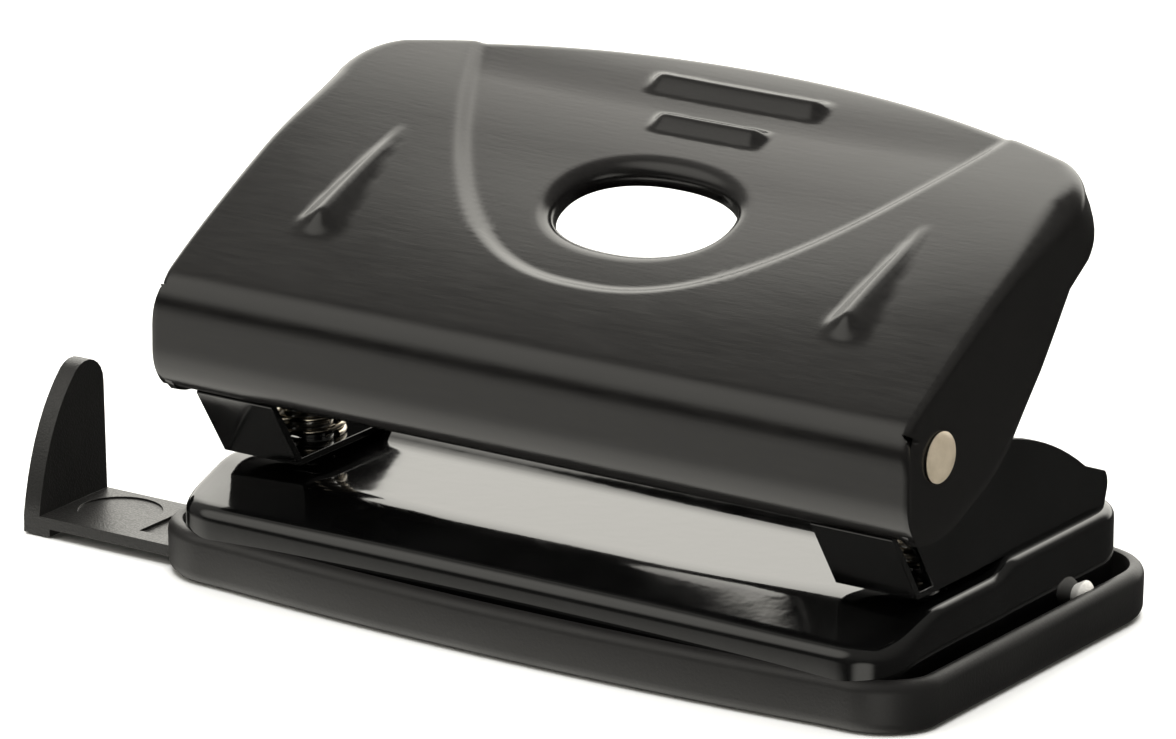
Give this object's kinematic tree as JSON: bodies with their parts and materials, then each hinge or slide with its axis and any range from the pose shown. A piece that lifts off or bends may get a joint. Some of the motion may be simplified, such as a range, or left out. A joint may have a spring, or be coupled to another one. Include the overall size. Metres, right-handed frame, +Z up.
{
  "type": "hole punch",
  "caption": "Small all-metal desk punch: rocking sheet-steel handle over sprung punch heads, soft plastic chip tray and sliding paper guide.",
  "frame": {"origin": "On the table plane, midway between the two punches and on the line of their axes", "axes": "+X to the right along the punch, from one punch to the other; +Y to the back, away from the paper; +Z up"},
  "size_m": [0.1187, 0.0572, 0.0544],
  "materials": {
    "gloss_black_steel": "gloss black paint on pressed steel",
    "satin_black_steel": "satin black paint on pressed steel, with a fine grain along its length",
    "nickel_plate": "nickel-plated steel",
    "bare_steel": "ground steel",
    "soft_black_plastic": "matte soft moulded plastic",
    "grained_black_plastic": "finely spark-eroded moulded plastic"
  },
  "bodies": {
    "base": {"base_plate": "gloss_black_steel", "bracket_left": "gloss_black_steel", "bracket_right": "gloss_black_steel", "bracket_rivets": "gloss_black_steel", "pivot_rivet_left": "nickel_plate", "pivot_rivet_right": "nickel_plate", "pivot_washer_left": "bare_steel", "pivot_washer_right": "bare_steel", "tray_stud_left": "nickel_plate", "tray_stud_right": "nickel_plate", "spring_left": "nickel_plate", "spring_right": "nickel_plate"},
    "handle": {"handle_shell": "satin_black_steel", "press_saddle_left": "bare_steel", "press_saddle_right": "bare_steel"},
    "pin_left": {"punch_pin_left": "bare_steel", "retaining_clip_left": "bare_steel"},
    "pin_right": {"punch_pin_right": "bare_steel", "retaining_clip_right": "bare_steel"},
    "tray": {"chip_tray": "soft_black_plastic"},
    "guide": {"paper_guide": "grained_black_plastic"}
  },
  "joints": [
    {"name": "handle_press", "type": "hinge", "parent": "base", "child": "handle", "pos_m": [0, -0.0103, 0.0296], "axis": [-1, 0, 0], "range_deg": [0, 17], "stiffness_Nm_per_rad": 1.2, "springref_deg": -8.59},
    {"name": "pin_left_slide", "type": "slide", "parent": "base", "child": "pin_left", "axis": [0, 0, -1], "range_m": [0, 0.0034], "deforming": ["spring_left"]},
    {"name": "pin_right_slide", "type": "slide", "parent": "base", "child": "pin_right", "axis": [0, 0, -1], "range_m": [0, 0.0034], "deforming": ["spring_right"]},
    {"name": "tray_hinge", "type": "hinge", "parent": "base", "child": "tray", "pos_m": [0, 0.0214, 0.0052], "axis": [1, 0, 0], "range_deg": [0, 18]},
    {"name": "guide_slide", "type": "slide", "parent": "tray", "child": "guide", "axis": [-1, 0, 0], "range_m": [0, 0.0815]}
  ],
  "couplings": [
    {"joint": "pin_left_slide", "follows": "handle_press", "m_per_rad": 0.01115},
    {"joint": "pin_right_slide", "follows": "handle_press", "m_per_rad": 0.01115}
  ]
}
